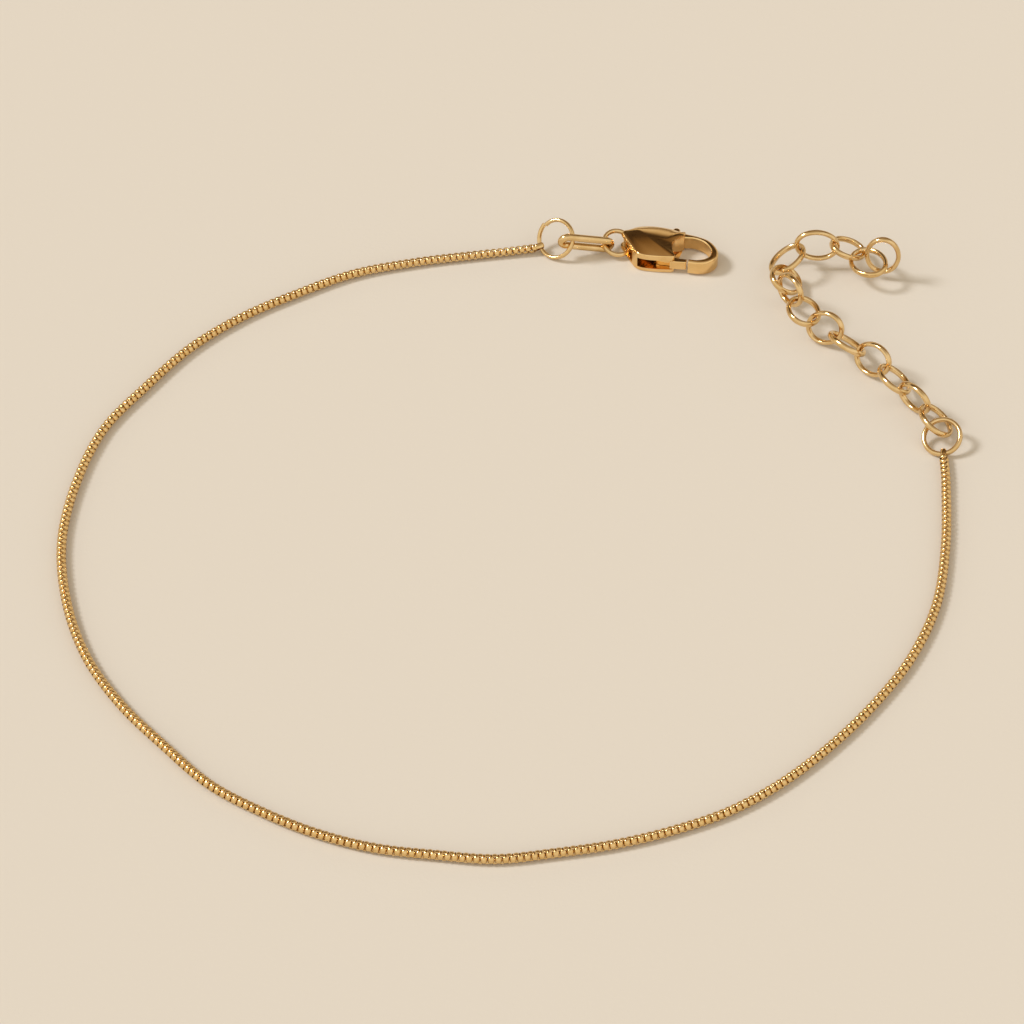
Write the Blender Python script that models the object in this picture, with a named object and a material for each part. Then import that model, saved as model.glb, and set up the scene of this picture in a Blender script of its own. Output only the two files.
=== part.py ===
"""Gold box chain anklet, lying open: box chain, jump rings, lobster clasp and an extender of oval links.

Metres, +Z up. The anklet lies on z = 0, and the origin is under the middle of the loop.
"""

import math

import bpy
from mathutils import Euler, Matrix, Vector

# Driving dimensions
END_RING_WIRE = 0.00042
END_RING_SIZE = 0.0042
CLASP_RING_WIRE = 0.00046
CLASP_RING_SIZE = 0.0032
CONNECTOR_WIRE = 0.00062
CONNECTOR_LENGTH = 0.0059
CONNECTOR_WIDTH = 0.0020
LINK_WIRE = 0.00048
LINK_LENGTH = 0.0046
LINK_WIDTH = 0.0036
EXTENDER_RING_SIZE = 0.0040
WIRE_SIDES = 6
RING_STEPS = 16
SHARP_ANGLE = math.radians(40)

# The box chain is a round bar of the chain's girth here
CHAIN_RADIUS = 0.00044
CHAIN_POINTS = 78
CHAIN_BEVEL_STEPS = 2
SPLINE_STEPS = 24

# The chain's last link at each end, a folded strip round a ring's wire
END_LINK_LENGTH = 0.00100
END_LINK_WIDTH = 0.00090
END_LINK_STRIP_WIDTH = 0.00052
END_LINK_STRIP_THICKNESS = 0.00013
END_LINK_CORNER = 0.00022
END_LINK_CORNER_STEPS = 3
RING_PLAY = 0.00004
CHAIN_PLAY = 0.00005

# The end ring's open joint
JOINT_GAP = 0.00016
JOINT_STEP = 0.00022
END_RING_JOINT_ANGLE = math.radians(340)

# Where the chain's last links sit on their rings, as an angle round the ring
LEFT_LINK_ANGLE = math.radians(53)
RIGHT_LINK_ANGLE = math.radians(62)

# Pieces of bent wire: x, y, z, heading, climb and roll in metres and degrees
END_RING_PLACE = (0.0041, 0.0401, 0.0018, 140, 5, -50)
CONNECTOR_PLACE = (0.0071, 0.0395, 0.00175, 190, 15, 70)
CLASP_RING_PLACE = (0.01025, 0.04025, 0.0011, 50, 10, 20)
EXTENDER_RING_PLACE = (0.0408, 0.0117, 0.0012, 205, -25, -15)

# Extender links from the ring out: x, y, z from the ring's middle as shares of a link's length,
# then heading, climb and roll in degrees
EXTENDER_LINK_PLACES = (
    (-0.10, 0.48, 0.02, -75, 0, -30),
    (-0.52, 1.00, 0.18, 125, -25, -100),
    (-0.90, 1.62, 0.14, 105, -5, 30),
    (-1.32, 2.20, 0.18, 140, -25, -75),
    (-1.84, 2.72, 0.16, 125, -5, 35),
    (-2.28, 3.18, 0.20, 150, -40, -80),
    (-2.72, 3.60, 0.30, 85, -5, 15),
    (-2.98, 4.24, 0.34, 120, -35, 90),
    (-3.04, 4.80, 0.14, 60, -20, 30),
    (-2.98, 5.46, 0.16, 55, 10, -25),
    (-2.34, 5.66, 0.38, 0, -10, -95),
    (-1.66, 5.72, 0.24, 45, -25, -170),
    (-1.24, 5.30, 0.20, -60, 5, 10),
    (-0.94, 5.30, 0.40, -35, 90, -65),
)

# The box chain's route on the surface, from the end ring round to the extender ring
CHAIN_ROUTE = (
    (-0.0043, 0.0390),
    (-0.0102, 0.0379),
    (-0.0161, 0.0362),
    (-0.0216, 0.0332),
    (-0.0269, 0.0297),
    (-0.0317, 0.0252),
    (-0.0358, 0.0195),
    (-0.0395, 0.0134),
    (-0.0416, 0.0060),
    (-0.0424, -0.0019),
    (-0.0414, -0.0098),
    (-0.0391, -0.0169),
    (-0.0356, -0.0229),
    (-0.0315, -0.0279),
    (-0.0272, -0.0326),
    (-0.0224, -0.0359),
    (-0.0174, -0.0385),
    (-0.0123, -0.0402),
    (-0.0070, -0.0410),
    (-0.0018, -0.0415),
    (0.0034, -0.0408),
    (0.0086, -0.0398),
    (0.0137, -0.0382),
    (0.0188, -0.0359),
    (0.0236, -0.0325),
    (0.0281, -0.0281),
    (0.0322, -0.0231),
    (0.0360, -0.0172),
    (0.0388, -0.0103),
    (0.0402, -0.0025),
    (0.0408, 0.0055),
)

# Lobster clasp, in its own frame: x towards the hook, y towards the back, z up. It hangs on its
# ring by the tail post, whose place in the ring is given as shares of the ring's size
POST_IN_RING = (0.26, 0.10)
CLASP_HEADING = math.radians(-14)
CLASP_LENGTH = 0.0101
CLASP_WIDTH = 0.0050
CLASP_THICKNESS = 0.00206
TOP_PLATE = 0.00050
BOTTOM_PLATE = 0.00046
BACK_PLATE = 0.00070
TAIL_PLATE = 0.00035
BEVEL_DEPTH = 0.00045
BEVEL_INSET = 0.00018
DOME_DEPTH = 0.00041
DOME_INSET = 0.0020
UNDERSIDE_ROUNDING = 0.00010
HOOK_BOTTOM = 0.00020
HOOK_TOP = 0.00172
HOOK_BEVEL = 0.00010
HOOK_ROUNDING = 0.00028
HOOK_ROUNDING_MIDDLE = 0.3
PIVOT_RADIUS = 0.00027
PIVOT_CLEARANCE = 0.00005
TAIL_POST_RADIUS = 0.00020
LEVER_PLAY = 0.00005
LEVER_BEVEL = 0.00006
ARM_INSET = 0.00003
KNOB_RADIUS = 0.00040
ROUND_STEPS = 24
OUTLINE_STEPS = 3

# Below, the clasp's x is a share of its length and its y a share of its width
PIVOT = (-0.059, -0.26)
TAIL_POST = (-0.457, 0.05)
KNOB = (0.003, 0.57)

# Body outline from the front right corner round by the tail to the hook's root: x, y and how far
# the rim there takes the domed back's form instead of the front's bevel
BODY_FRONT = (
    (0.062, -0.440, 0.0),
    (-0.050, -0.484, 0.0),
    (-0.149, -0.512, 0.0),
    (-0.228, -0.516, 0.0),
    (-0.287, -0.484, 0.04),
    (-0.332, -0.400, 0.08),
)
BODY_TAIL = (
    (-0.431, -0.150, 0.08),
    (-0.499, 0.040, 0.08),
    (-0.509, 0.120, 0.08),
    (-0.492, 0.190, 0.12),
    (-0.454, 0.256, 0.25),
)
BODY_BACK = (
    (-0.386, 0.390, 0.55),
    (-0.303, 0.460, 0.85),
    (-0.189, 0.500, 1.0),
    (-0.052, 0.496, 1.0),
    (0.020, 0.476, 0.7),
    (0.060, 0.458, 0.4),
    (0.114, 0.440, 0.08),
)
BODY_THROAT = (
    (0.114, 0.290, 0.0),
    (0.084, 0.230, 0.0),
    (0.054, 0.150, 0.0),
    (0.033, 0.080, 0.0),
    (0.022, -0.026, 0.0),
    (0.048, -0.212, 0.0),
    (0.079, -0.330, 0.0),
    (0.084, -0.392, 0.0),
)

# The rim's form, as shares of its depth and inset: bevel depth and inset, dome depth and inset
RIM_FORM = (
    (1.0, 0.0, 1.0, 0.0),
    (0.42, 0.42, 0.63, 0.20),
    (0.15, 0.65, 0.32, 0.43),
    (0.04, 0.82, 0.10, 0.68),
    (0.0, 1.0, 0.0, 1.0),
)

# Hook outlines from the root to the nose, as matching outer and inner points
HOOK_OUTER = (
    (0.020, 0.460),
    (0.109, 0.440),
    (0.198, 0.426),
    (0.277, 0.400),
    (0.356, 0.344),
    (0.426, 0.230),
    (0.477, 0.080),
    (0.488, -0.080),
    (0.465, -0.230),
    (0.411, -0.340),
    (0.327, -0.404),
    (0.225, -0.420),
)
HOOK_INNER = (
    (0.020, 0.340),
    (0.109, 0.300),
    (0.183, 0.322),
    (0.248, 0.314),
    (0.317, 0.260),
    (0.376, 0.150),
    (0.416, 0.014),
    (0.414, -0.124),
    (0.376, -0.230),
    (0.332, -0.284),
    (0.287, -0.310),
    (0.225, -0.318),
)

# Cuts through the middle of the clasp's thickness: at the front, at the back and at the tail
FRONT_CUT = ((-0.277, -0.64), (0.094, -0.64), (0.094, 0.04), (0.040, 0.08), (-0.24, 0.08), (-0.277, 0.02))
BACK_CUT = ((-0.183, 0.04), (0.040, 0.04), (0.054, 0.14), (0.054, 0.60), (-0.183, 0.60))
TAIL_CUT = (
    (-0.594, -0.60),
    (-0.342, -0.60),
    (-0.342, 0.20),
    (-0.376, 0.28),
    (-0.376, 0.60),
    (-0.594, 0.60),
)

# The lever's gate with its boss, and its arm up to the thumb knob
GATE_OUTLINE = (
    (-0.109, -0.290),
    (-0.099, -0.350),
    (-0.059, -0.376),
    (0.010, -0.360),
    (0.038, -0.364),
    (0.045, -0.444),
    (0.119, -0.424),
    (0.193, -0.400),
    (0.203, -0.380),
    (0.203, -0.304),
    (0.193, -0.288),
    (0.119, -0.304),
    (0.050, -0.290),
    (0.000, -0.200),
    (-0.030, -0.166),
    (-0.079, -0.166),
    (-0.107, -0.220),
)
ARM_OUTLINE = (
    (-0.092, -0.230),
    (-0.030, -0.230),
    (-0.003, 0.080),
    (0.022, 0.380),
    (0.027, 0.540),
    (-0.021, 0.540),
    (-0.026, 0.380),
    (-0.060, 0.080),
)

GOLD = (0.78, 0.50, 0.20, 1.0)
BRIGHT_GOLD = (0.83, 0.57, 0.27, 1.0)


def clear_scene():
    for old in list(bpy.data.objects):
        bpy.data.objects.remove(old, do_unlink=True)


def gold(name, colour, roughness):
    """Polished gold plate over brass."""
    material = bpy.data.materials.new(name)
    material.use_nodes = True
    shader = material.node_tree.nodes["Principled BSDF"]
    shader.inputs["Base Color"].default_value = colour
    shader.inputs["Metallic"].default_value = 1.0
    shader.inputs["Roughness"].default_value = roughness
    return material


def add_object(name, data, material, parent=None):
    obj = bpy.data.objects.new(name, data)
    bpy.context.scene.collection.objects.link(obj)
    if material is not None and not data.materials:
        data.materials.append(material)
    obj.parent = parent
    return obj


def add_empty(name, parent):
    empty = bpy.data.objects.new(name, None)
    bpy.context.scene.collection.objects.link(empty)
    empty.parent = parent
    return empty


def placement(place):
    """Matrix of a piece whose long axis has a heading and a climb, and which is rolled about that axis."""
    x, y, z, heading, climb, roll = place
    turn = Euler((math.radians(roll), math.radians(-climb), math.radians(heading)), "XYZ")
    return Matrix.Translation((x, y, z)) @ turn.to_matrix().to_4x4()


def smooth_curve(points, steps):
    """A Catmull-Rom curve through the points, with the given steps in each span."""
    points = [Vector(point) for point in points]
    ends = [points[0] * 2 - points[1]] + points + [points[-1] * 2 - points[-2]]
    curve = []
    for i in range(1, len(ends) - 2):
        before, start, end, after = ends[i - 1 : i + 3]
        for step in range(steps):
            t = step / steps
            bend = (start - end) * 3 + after - before
            lean = before * 2 - start * 5 + end * 4 - after
            curve.append((start * 2 + (end - before) * t + lean * t**2 + bend * t**3) / 2)
    return curve + [points[-1]]


def evenly_spaced(points, count):
    """Points at equal distances along a fine polyline."""
    lengths = [0.0]
    for start, end in zip(points, points[1:]):
        lengths.append(lengths[-1] + (end - start).length)
    spaced = []
    span = 0
    for i in range(count):
        target = lengths[-1] * i / (count - 1)
        while span < len(points) - 2 and lengths[span + 1] < target:
            span += 1
        share = (target - lengths[span]) / (lengths[span + 1] - lengths[span])
        spaced.append(points[span].lerp(points[span + 1], share))
    return spaced


def mesh_from(name, corners, faces):
    mesh = bpy.data.meshes.new(name)
    mesh.from_pydata([tuple(corner) for corner in corners], [], faces)
    mesh.validate()
    mesh.update()
    mesh.shade_smooth()
    mesh.set_sharp_from_angle(angle=SHARP_ANGLE)
    return mesh


def swept_mesh(name, sections, closed):
    """A skin over equal rings of corners, capped at both ends unless it closes on itself."""
    size = len(sections[0])
    corners = [corner for section in sections for corner in section]
    faces = []
    spans = len(sections) if closed else len(sections) - 1
    for i in range(spans):
        here = i * size
        there = (i + 1) % len(sections) * size
        for j in range(size):
            k = (j + 1) % size
            faces.append((here + j, here + k, there + k, there + j))
    if not closed:
        faces.append(tuple(range(size))[::-1])
        faces.append(tuple(len(corners) - size + j for j in range(size)))
    return mesh_from(name, corners, faces)


def wire_section(centre, across, wire):
    """Corners of a round wire's section: across points away from the bend's centre, in the bend's plane."""
    section = []
    for j in range(WIRE_SIDES):
        angle = math.tau * j / WIRE_SIDES
        section.append(centre + (across * math.cos(angle) - Vector((0, 0, 1)) * math.sin(angle)) * wire / 2)
    return section


def oval_link_mesh(name, length, width, wire):
    """A closed oval link of round wire, long in x and flat in z."""
    bend = (width - wire) / 2
    straight = (length - width) / 2
    half = RING_STEPS // 2
    sections = []
    for side, start in ((1, -math.pi / 2), (-1, math.pi / 2)):
        for i in range(half):
            angle = start + math.pi * i / (half - 1)
            across = Vector((math.cos(angle), math.sin(angle), 0))
            sections.append(wire_section(Vector((side * straight, 0, 0)) + across * bend, across, wire))
    return swept_mesh(name, sections, True)


def ring_mesh(name, size, wire):
    bend = (size - wire) / 2
    sections = []
    for i in range(RING_STEPS):
        angle = math.tau * i / RING_STEPS
        across = Vector((math.cos(angle), math.sin(angle), 0))
        sections.append(wire_section(across * bend, across, wire))
    return swept_mesh(name, sections, True)


def split_ring_mesh(name, size, wire, joint):
    """A jump ring cut once, with its two ends a little apart and a small step sideways."""
    bend = (size - wire) / 2
    gap = JOINT_GAP / bend
    sections = []
    for i in range(RING_STEPS + 1):
        share = i / RING_STEPS
        angle = joint + gap / 2 + (math.tau - gap) * share
        across = Vector((math.cos(angle), math.sin(angle), 0))
        shift = Vector((0, 0, JOINT_STEP * (share - 0.5)))
        sections.append(wire_section(across * bend + shift, across, wire))
    return swept_mesh(name, sections, False)


def rounded_box_loop(length, width, corner, steps):
    """Corners of a rounded rectangle round the origin, counter-clockwise."""
    loop = []
    for quarter, (side_x, side_y) in enumerate(((1, 1), (-1, 1), (-1, -1), (1, -1))):
        centre = Vector((side_x * (length / 2 - corner), side_y * (width / 2 - corner)))
        for i in range(steps + 1):
            angle = math.pi / 2 * (quarter + i / steps)
            loop.append(centre + Vector((math.cos(angle), math.sin(angle))) * corner)
    return loop


def folded_link_mesh(name):
    """One link of box chain: a flat strip folded into a rounded box, long in x, open in z."""
    thickness = END_LINK_STRIP_THICKNESS
    half = END_LINK_STRIP_WIDTH / 2
    outer = rounded_box_loop(END_LINK_LENGTH, END_LINK_WIDTH, END_LINK_CORNER, END_LINK_CORNER_STEPS)
    inner = rounded_box_loop(
        END_LINK_LENGTH - 2 * thickness,
        END_LINK_WIDTH - 2 * thickness,
        END_LINK_CORNER - thickness,
        END_LINK_CORNER_STEPS,
    )
    sections = []
    for near, far in zip(inner, outer):
        corners = ((far, half), (far, -half), (near, -half), (near, half))
        sections.append([Vector((*place, height)) for place, height in corners])
    return swept_mesh(name, sections, True)


def ring_point(place, size, wire, angle):
    """Where a ring's wire runs at an angle round it, and the direction in which it runs there."""
    matrix = placement(place)
    bend = (size - wire) / 2
    point = matrix @ Vector((bend * math.cos(angle), bend * math.sin(angle), 0))
    along = matrix.to_3x3() @ Vector((-math.sin(angle), math.cos(angle), 0))
    return point, along


def end_link_matrix(wire_point, wire_along, wire, towards):
    """The last link hangs on the ring's wire by its far end and points to the chain."""
    reach = towards - wire_point
    reach = (reach - wire_along * reach.dot(wire_along)).normalized()
    third = wire_along.cross(reach)
    turn = Matrix((reach, third, wire_along)).transposed()
    pull = END_LINK_LENGTH / 2 - END_LINK_STRIP_THICKNESS - wire / 2 - RING_PLAY
    return Matrix.Translation(wire_point + reach * pull) @ turn.to_4x4()


def inward(outline, i):
    """Direction from a counter-clockwise outline's point to its inside."""
    before = Vector(outline[i - 1][:2])
    after = Vector(outline[(i + 1) % len(outline)][:2])
    run = (after - before).normalized()
    return Vector((-run.y, run.x))


def prism_mesh(name, outline, low, high, bevel=0.0):
    """Straight walls over a counter-clockwise outline, with both rims bevelled."""
    levels = [(low, bevel), (low + bevel, 0.0), (high - bevel, 0.0), (high, bevel)]
    if bevel == 0.0:
        levels = [levels[0], levels[-1]]
    sections = []
    for height, inset in levels:
        section = []
        for i, point in enumerate(outline):
            corner = Vector(point) + inward(outline, i) * inset
            section.append(Vector((*corner, height)))
        sections.append(section)
    return swept_mesh(name, sections, False)


def cutter(name, outline, low, high, parent):
    """A hidden block that a Boolean joins or cuts."""
    return hide(add_object(name, prism_mesh(name, counter_clockwise(outline), low, high), None, parent))


def hide(obj):
    """A Boolean's helper, kept out of the render and drawn as wires."""
    obj.hide_render = True
    obj.display_type = "WIRE"
    return obj


def counter_clockwise(outline):
    area = sum(a[0] * b[1] - b[0] * a[1] for a, b in zip(outline, outline[1:] + outline[:1]))
    return outline if area > 0 else outline[::-1]


def circle(centre, radius):
    points = []
    for i in range(ROUND_STEPS):
        angle = math.tau * i / ROUND_STEPS
        points.append((centre[0] + radius * math.cos(angle), centre[1] + radius * math.sin(angle)))
    return points


def boolean(obj, operation, other):
    modifier = obj.modifiers.new(other.name, "BOOLEAN")
    modifier.operation = operation
    modifier.object = other


def clasp_points(table, origin=(0.0, 0.0)):
    """Points in metres from a table of shares of the clasp's length and width."""
    points = []
    for x, y, *rest in table:
        points.append(((x - origin[0]) * CLASP_LENGTH, (y - origin[1]) * CLASP_WIDTH, *rest))
    return points


def mix(start, end, share):
    """A value the given share of the way from start to end."""
    return start + (end - start) * share


def body_mesh(name):
    """The clasp's body: bevelled along the front and the tail, and domed down towards the back."""
    edge = smooth_curve(clasp_points(BODY_FRONT + BODY_TAIL + BODY_BACK), OUTLINE_STEPS)
    throat = smooth_curve(clasp_points(BODY_THROAT), OUTLINE_STEPS)
    outline = counter_clockwise([tuple(point) for point in edge + throat])
    rows = [(-CLASP_THICKNESS, UNDERSIDE_ROUNDING) * 2, (UNDERSIDE_ROUNDING - CLASP_THICKNESS, 0.0) * 2]
    for bevel_depth, bevel_inset, dome_depth, dome_inset in RIM_FORM:
        bevel = (-bevel_depth * BEVEL_DEPTH, bevel_inset * BEVEL_INSET)
        rows.append((*bevel, -dome_depth * DOME_DEPTH, dome_inset * DOME_INSET))
    sections = []
    for bevel_height, bevel_inset, dome_height, dome_inset in rows:
        section = []
        for i, (x, y, share) in enumerate(outline):
            corner = Vector((x, y)) + inward(outline, i) * mix(bevel_inset, dome_inset, share)
            height = CLASP_THICKNESS + mix(bevel_height, dome_height, share)
            section.append(Vector((*corner, height)))
        sections.append(section)
    return swept_mesh(name, sections, False)


def hook_mesh(name):
    """The hook as a bar swept from the body's back round to the nose, with a well rounded outer rim."""
    outer = smooth_curve([(x, y, 0.0) for x, y in clasp_points(HOOK_OUTER)], OUTLINE_STEPS)
    inner = smooth_curve([(x, y, 0.0) for x, y in clasp_points(HOOK_INNER)], OUTLINE_STEPS)
    middle = HOOK_ROUNDING * HOOK_ROUNDING_MIDDLE
    sections = []
    for far, near in zip(outer, inner):
        width = (near - far).length
        across = (near - far).normalized()
        profile = (
            (0.0, HOOK_BOTTOM + HOOK_BEVEL),
            (HOOK_BEVEL, HOOK_BOTTOM),
            (width - HOOK_BEVEL, HOOK_BOTTOM),
            (width, HOOK_BOTTOM + HOOK_BEVEL),
            (width, HOOK_TOP - HOOK_BEVEL),
            (width - HOOK_BEVEL, HOOK_TOP),
            (HOOK_ROUNDING, HOOK_TOP),
            (middle, HOOK_TOP - middle),
            (0.0, HOOK_TOP - HOOK_ROUNDING),
        )
        sections.append([far + across * reach + Vector((0, 0, height)) for reach, height in profile])
    return swept_mesh(name, sections, False)


def add_clasp_body(frame, material):
    body = add_object("clasp_body", body_mesh("clasp_body"), material, frame)
    boolean(body, "UNION", hide(add_object("clasp_hook_blank", hook_mesh("clasp_hook_blank"), None, frame)))
    front_top = CLASP_THICKNESS - TOP_PLATE
    back_top = CLASP_THICKNESS - BACK_PLATE
    tail_top = CLASP_THICKNESS - TAIL_PLATE
    cuts = (
        ("clasp_front_cut", FRONT_CUT, BOTTOM_PLATE, front_top),
        ("clasp_back_cut", BACK_CUT, BOTTOM_PLATE, back_top),
        ("clasp_tail_cut", TAIL_CUT, TAIL_PLATE, tail_top),
    )
    for name, outline, low, high in cuts:
        boolean(body, "DIFFERENCE", cutter(name, clasp_points(outline), low, high, frame))
    post = circle(clasp_points([TAIL_POST])[0], TAIL_POST_RADIUS)
    low = TAIL_PLATE / 2
    boolean(body, "UNION", cutter("clasp_tail_post", post, low, CLASP_THICKNESS - low, frame))
    pin = circle(clasp_points([PIVOT])[0], PIVOT_RADIUS)
    low = BOTTOM_PLATE / 2
    boolean(body, "UNION", cutter("clasp_pivot_pin", pin, low, CLASP_THICKNESS - TOP_PLATE / 2, frame))


def add_clasp_lever(frame, material):
    """The lever with its origin on the pivot: a deep gate and boss, a flatter arm and a round knob."""
    low = BOTTOM_PLATE + LEVER_PLAY
    gate_top = CLASP_THICKNESS - TOP_PLATE - LEVER_PLAY
    arm_top = CLASP_THICKNESS - BACK_PLATE - LEVER_PLAY
    pivot = (*clasp_points([PIVOT])[0], 0.0)
    gate = counter_clockwise(clasp_points(GATE_OUTLINE, PIVOT))
    lever = add_object(
        "clasp_lever", prism_mesh("clasp_lever", gate, low, gate_top, LEVER_BEVEL), material, frame
    )
    arm = clasp_points(ARM_OUTLINE, PIVOT)
    knob = circle(clasp_points([KNOB], PIVOT)[0], KNOB_RADIUS)
    bore = circle((0.0, 0.0), PIVOT_RADIUS + PIVOT_CLEARANCE)
    parts = (
        ("clasp_arm_blank", "UNION", arm, low + ARM_INSET, arm_top - ARM_INSET),
        ("clasp_knob_blank", "UNION", knob, low, arm_top),
        ("clasp_lever_bore", "DIFFERENCE", bore, 0.0, CLASP_THICKNESS),
    )
    lever.location = pivot
    for name, operation, outline, bottom, top in parts:
        other = cutter(name, outline, bottom, top, frame)
        other.location = pivot
        boolean(lever, operation, other)


def add_clasp(parent, body_material, lever_material):
    """The clasp stands where its tail post hangs in the clasp ring."""
    x, y = clasp_points([TAIL_POST])[0]
    turn = Matrix.Rotation(CLASP_HEADING, 2)
    post = Vector(CLASP_RING_PLACE[:2]) + Vector(POST_IN_RING) * CLASP_RING_SIZE
    place = post - turn @ Vector((x, y))
    frame = add_empty("clasp_frame", parent)
    frame.location = (*place, 0.0)
    frame.rotation_euler = (0.0, 0.0, CLASP_HEADING)
    add_clasp_body(frame, body_material)
    add_clasp_lever(frame, lever_material)


def add_chain(left_link, right_link, parent, material):
    """The box chain's bar, from one last link to the other along the route."""
    reach = END_LINK_LENGTH / 2 + CHAIN_PLAY
    start = left_link @ Vector((reach, 0, 0))
    end = right_link @ Vector((reach, 0, 0))
    lying = [Vector((x, y, CHAIN_RADIUS)) for x, y in CHAIN_ROUTE]
    route = evenly_spaced(smooth_curve([start, *lying, end], SPLINE_STEPS), CHAIN_POINTS)
    for place in route:
        place.z = max(place.z, CHAIN_RADIUS)
    curve = bpy.data.curves.new("box_chain", "CURVE")
    curve.dimensions = "3D"
    curve.bevel_depth = CHAIN_RADIUS
    curve.bevel_resolution = CHAIN_BEVEL_STEPS
    curve.use_fill_caps = True
    spline = curve.splines.new("POLY")
    spline.points.add(len(route) - 1)
    for point, place in zip(spline.points, route):
        point.co = (*place, 1.0)
    return add_object("box_chain", curve, material, parent)


def from_extender_ring(place):
    """An extender link's place in metres."""
    middle = Vector(EXTENDER_RING_PLACE[:3]) + Vector(place[:3]) * LINK_LENGTH
    return (*middle, *place[3:])


def build_anklet():
    clear_scene()
    anklet = add_empty("anklet", None)
    polished = gold("polished_gold", GOLD, 0.15)
    bright = gold("bright_gold", BRIGHT_GOLD, 0.12)
    chain_gold = gold("chain_gold", GOLD, 0.22)

    end_ring = split_ring_mesh("end_ring", END_RING_SIZE, END_RING_WIRE, END_RING_JOINT_ANGLE)
    clasp_ring = ring_mesh("clasp_ring", CLASP_RING_SIZE, CLASP_RING_WIRE)
    extender_ring = ring_mesh("extender_ring", EXTENDER_RING_SIZE, LINK_WIRE)
    connector = oval_link_mesh("connector_link", CONNECTOR_LENGTH, CONNECTOR_WIDTH, CONNECTOR_WIRE)
    link = oval_link_mesh("extender_link", LINK_LENGTH, LINK_WIDTH, LINK_WIRE)
    wires = [
        ("end_ring", end_ring, END_RING_PLACE),
        ("connector_link", connector, CONNECTOR_PLACE),
        ("clasp_ring", clasp_ring, CLASP_RING_PLACE),
        ("extender_ring", extender_ring, EXTENDER_RING_PLACE),
    ]
    for number, place in enumerate(EXTENDER_LINK_PLACES, 1):
        wires.append((f"extender_link_{number:02d}", link, from_extender_ring(place)))
    for name, mesh, place in wires:
        piece = add_object(name, mesh, bright, anklet)
        piece.matrix_basis = placement(place)

    folded = folded_link_mesh("chain_end_link")
    left = end_link_matrix(
        *ring_point(END_RING_PLACE, END_RING_SIZE, END_RING_WIRE, LEFT_LINK_ANGLE),
        END_RING_WIRE,
        Vector((*CHAIN_ROUTE[0], CHAIN_RADIUS)),
    )
    right = end_link_matrix(
        *ring_point(EXTENDER_RING_PLACE, EXTENDER_RING_SIZE, LINK_WIRE, RIGHT_LINK_ANGLE),
        LINK_WIRE,
        Vector((*CHAIN_ROUTE[-1], CHAIN_RADIUS)),
    )
    for name, matrix in (("chain_end_link_left", left), ("chain_end_link_right", right)):
        piece = add_object(name, folded, chain_gold, anklet)
        piece.matrix_basis = matrix
    add_chain(left, right, anklet, chain_gold)
    add_clasp(anklet, polished, bright)


build_anklet()
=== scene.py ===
import math

import bpy
from mathutils import Euler, Matrix, Vector


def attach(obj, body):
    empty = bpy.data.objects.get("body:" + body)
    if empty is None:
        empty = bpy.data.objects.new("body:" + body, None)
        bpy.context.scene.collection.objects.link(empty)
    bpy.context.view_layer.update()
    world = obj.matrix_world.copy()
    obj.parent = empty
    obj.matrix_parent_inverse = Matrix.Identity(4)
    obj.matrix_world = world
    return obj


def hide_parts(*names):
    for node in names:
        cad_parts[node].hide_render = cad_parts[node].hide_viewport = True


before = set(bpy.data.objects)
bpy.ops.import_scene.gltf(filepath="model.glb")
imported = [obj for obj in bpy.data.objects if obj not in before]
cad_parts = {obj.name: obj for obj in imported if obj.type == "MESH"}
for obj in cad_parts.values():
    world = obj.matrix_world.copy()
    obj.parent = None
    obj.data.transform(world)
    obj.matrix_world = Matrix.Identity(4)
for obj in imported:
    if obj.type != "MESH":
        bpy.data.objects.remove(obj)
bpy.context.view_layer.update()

MILLIMETRE = 0.001

# Rings and links of bent wire: the wire's thickness and the outer sizes, in metres
END_RING_WIRE = 0.00042
END_RING_SIZE = 0.0042
CLASP_RING_WIRE = 0.00046
CLASP_RING_SIZE = 0.0032
CONNECTOR_WIRE = 0.00074
CONNECTOR_LENGTH = 0.0059
CONNECTOR_WIDTH = 0.0020
LINK_WIRE = 0.00048
LINK_LENGTH = 0.0046
LINK_WIDTH = 0.0036
EXTENDER_RING_SIZE = 0.0040

# How finely wire is drawn, its depth as a share of its width, and the angle where an edge stays sharp
WIRE_SIDES = 14
WIRE_DEPTH = 1.3
RING_STEPS = 72
WIRE_SHARP = math.radians(40)

# The last folded link at each end of the chain
END_LINK_LENGTH = 0.00100
END_LINK_WIDTH = 0.00090
END_LINK_STRIP_WIDTH = 0.00052
END_LINK_STRIP_THICKNESS = 0.00013
END_LINK_CORNER = 0.00022
END_LINK_CORNER_STEPS = 6
RING_PLAY = 0.00004
CHAIN_PLAY = 0.00005

# The folded links of the box chain, each turned a quarter from the last
BOX_LENGTH = 0.00062
BOX_WIDTH = 0.00090
BOX_STRIP_WIDTH = 0.00057
BOX_STRIP_THICKNESS = 0.00015
BOX_CORNER = 0.00026
BOX_CORNER_STEPS = 3
BOX_SHARP = math.radians(50)
LINK_SLACK = 0.000004

# The strip's section as shares of its width and thickness: a flat inside and a domed outside
STRIP_SECTION = (
    (0.5, 0.35),
    (0.36, 0.74),
    (0.19, 0.94),
    (0.0, 1.0),
    (-0.19, 0.94),
    (-0.36, 0.74),
    (-0.5, 0.35),
    (-0.5, 0.0),
    (0.5, 0.0),
)

# The end ring's open joint: its gap, its sideways step, and how far and how sharply its ends spring
JOINT_GAP = 0.00016
JOINT_STEP = 0.00022
JOINT_SPRING = 0.00012
JOINT_SPRING_POWER = 6
END_RING_JOINT_ANGLE = math.radians(340)

# Where round its ring each end link hangs
LEFT_LINK_ANGLE = math.radians(53)
RIGHT_LINK_ANGLE = math.radians(62)

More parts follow.
